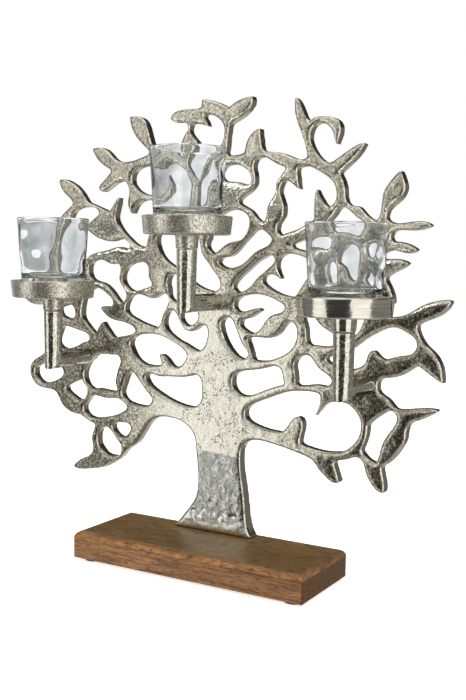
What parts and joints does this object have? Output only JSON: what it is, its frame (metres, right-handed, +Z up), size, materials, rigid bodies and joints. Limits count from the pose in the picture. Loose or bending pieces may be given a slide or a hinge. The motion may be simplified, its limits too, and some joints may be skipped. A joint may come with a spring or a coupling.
{
  "type": "tree of life candle holder",
  "caption": "Flat cast-metal tree of life on a wooden block, with L-shaped arms in front that carry shallow dishes and clear votive glasses for candles.",
  "frame": {"origin": "on the floor under the middle of the wooden base, in the plane of the feet's faces", "axes": "+X along the base to the right as seen from the front, +Y to the back, away from the arms, +Z up"},
  "size_m": [0.464, 0.1111, 0.432],
  "materials": {
    "cast_aluminium": "cast, warm champagne-silver, fine sand-cast pits, worn bright edges",
    "clear_glass": "clear pressed glass, slightly wavy",
    "plated_steel": "zinc-plated",
    "mango_wood": "brown stain under a satin lacquer, edges rubbed lighter",
    "black_rubber": "matt"
  },
  "bodies": {
    "holder": {"wooden_base": "mango_wood", "foot_front_left": "black_rubber", "foot_front_right": "black_rubber", "foot_rear_left": "black_rubber", "foot_rear_right": "black_rubber", "tree_casting": "cast_aluminium", "arm_left": "cast_aluminium", "arm_centre": "cast_aluminium", "arm_right": "cast_aluminium", "dish_studs": "plated_steel", "arm_screws": "plated_steel", "arm_washers": "plated_steel", "base_screws": "plated_steel", "base_washers": "plated_steel"},
    "left_dish": {"dish_left": "cast_aluminium"},
    "left_glass": {"glass_left": "clear_glass"},
    "centre_dish": {"dish_centre": "cast_aluminium"},
    "centre_glass": {"glass_centre": "clear_glass"},
    "right_dish": {"dish_right": "cast_aluminium"},
    "right_glass": {"glass_right": "clear_glass"}
  },
  "joints": [
    {"name": "left_dish_turn", "type": "hinge", "parent": "holder", "child": "left_dish", "pos_m": [-0.161, -0.026, 0.234], "axis": [0, 0, 1], "range_deg": [0, 360]},
    {"name": "centre_dish_turn", "type": "hinge", "parent": "holder", "child": "centre_dish", "pos_m": [-0.009, -0.026, 0.2945], "axis": [0, 0, 1], "range_deg": [0, 360]},
    {"name": "right_dish_turn", "type": "hinge", "parent": "holder", "child": "right_dish", "pos_m": [0.143, -0.026, 0.2295], "axis": [0, 0, 1], "range_deg": [0, 360]},
    {"name": "left_glass_lift", "type": "slide", "parent": "left_dish", "child": "left_glass", "axis": [0, 0, 1], "range_m": [0, 0.08]},
    {"name": "centre_glass_lift", "type": "slide", "parent": "centre_dish", "child": "centre_glass", "axis": [0, 0, 1], "range_m": [0, 0.08]},
    {"name": "right_glass_lift", "type": "slide", "parent": "right_dish", "child": "right_glass", "axis": [0, 0, 1], "range_m": [0, 0.08]}
  ]
}
